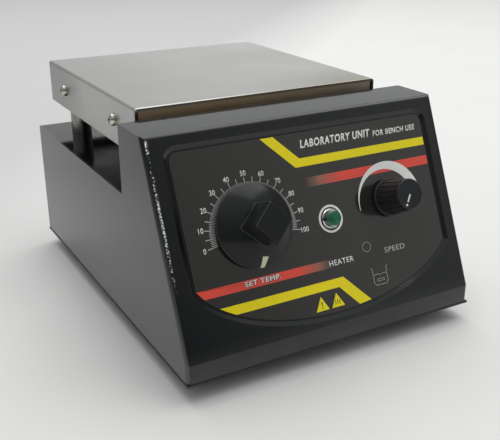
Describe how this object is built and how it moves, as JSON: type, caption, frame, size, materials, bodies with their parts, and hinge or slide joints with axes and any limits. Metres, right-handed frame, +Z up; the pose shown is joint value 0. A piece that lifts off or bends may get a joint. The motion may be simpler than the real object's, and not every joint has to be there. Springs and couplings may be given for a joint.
{
  "type": "magnetic stirrer with hot plate",
  "caption": "Magnetic stirrer with a square stainless heated plate on posts above a black steel case; sloping fascia with heat dial, speed knob and heater lamp.",
  "frame": {"origin": "centre of the bounding box's footprint, level with the bottom of the rubber feet", "axes": "+Z up; -Y out of the sloping fascia side, the user's side; +X to the user's right"},
  "size_m": [0.1746, 0.2306, 0.1237],
  "materials": {
    "black_powder_coat": "gloss",
    "galvanised_base": "satin",
    "stainless": "brushed",
    "zinc_steel": "polished",
    "post_steel": "satin",
    "rubber_black": "matte",
    "overlay_print": "satin",
    "bakelite": "gloss",
    "knob_plastic": "satin",
    "cream_paint": "satin",
    "white_paint": "satin",
    "chrome_trim": "polished",
    "green_lens": "gloss",
    "nylon_black": "satin",
    "phenolic": "satin",
    "brass": "satin",
    "aluminium": "satin",
    "cast_aluminium": "cast",
    "galvanised_pan": "satin",
    "mica": "satin",
    "ceramic_wool": "matte",
    "motor_steel": "satin",
    "ferrite": "matte",
    "shaft_steel": "ground",
    "bronze": "satin",
    "board_green": "satin",
    "capacitor_sleeve": "gloss",
    "terminal_green": "satin",
    "transformer_yellow": "satin",
    "inlet_plastic": "satin"
  },
  "bodies": {
    "chassis": {"cabinet_shell": "black_powder_coat", "base_plate": "galvanised_base", "base_screws": "zinc_steel", "rubber_feet": "rubber_black", "foot_screws": "zinc_steel", "foot_nuts": "zinc_steel", "fascia_label": "overlay_print", "lamp_bezel": "chrome_trim", "lamp_lens": "green_lens", "lamp_base": "nylon_black", "lamp_leads": "brass", "lamp_nut": "brass", "regulator_body": "phenolic", "regulator_tabs": "brass", "regulator_nut": "brass", "speed_pot_body": "aluminium", "speed_pot_tabs": "brass", "speed_pot_nut": "zinc_steel", "plate_cover": "stainless", "plate_screws": "zinc_steel", "plate_nuts": "zinc_steel", "heat_spreader": "aluminium", "heater_element": "mica", "insulation_pad": "ceramic_wool", "heater_pan": "galvanised_pan", "plate_posts": "post_steel", "post_bolts": "zinc_steel", "post_nuts": "zinc_steel", "motor_can": "motor_steel", "motor_cap": "cast_aluminium", "motor_gasket": "rubber_black", "motor_bearings": "bronze", "motor_magnets": "ferrite", "motor_screws": "zinc_steel", "speed_board": "board_green", "board_standoffs": "brass", "board_screws": "zinc_steel", "board_capacitors": "capacitor_sleeve", "board_heatsink": "aluminium", "board_transformer": "transformer_yellow", "board_terminals": "terminal_green", "inlet_body": "inlet_plastic", "inlet_blades": "brass", "inlet_screws": "zinc_steel", "inlet_nuts": "zinc_steel", "earth_stud": "brass", "earth_nut": "brass"},
    "temp_control": {"temp_knob": "bakelite", "temp_pointer": "cream_paint", "regulator_shaft": "shaft_steel"},
    "speed_control": {"speed_knob": "knob_plastic", "speed_pointer": "white_paint", "speed_pot_shaft": "shaft_steel"},
    "stir_drive": {"motor_shaft": "shaft_steel", "rotor_core": "motor_steel", "magnet_hub": "aluminium", "drive_magnets": "ferrite", "hub_screw": "zinc_steel"}
  },
  "joints": [
    {"name": "temp_turn", "type": "hinge", "parent": "chassis", "child": "temp_control", "pos_m": [-0.0383, -0.09133, 0.07332], "axis": [0, 0.9157, -0.4019], "range_deg": [0, 280]},
    {"name": "speed_turn", "type": "hinge", "parent": "chassis", "child": "speed_control", "pos_m": [0.0447, -0.09157, 0.07277], "axis": [0, 0.9157, -0.4019], "range_deg": [0, 300]},
    {"name": "stir_spin", "type": "hinge", "parent": "chassis", "child": "stir_drive", "pos_m": [0, 0.0403, 0.0702], "axis": [0, 0, 1], "continuous": true}
  ]
}
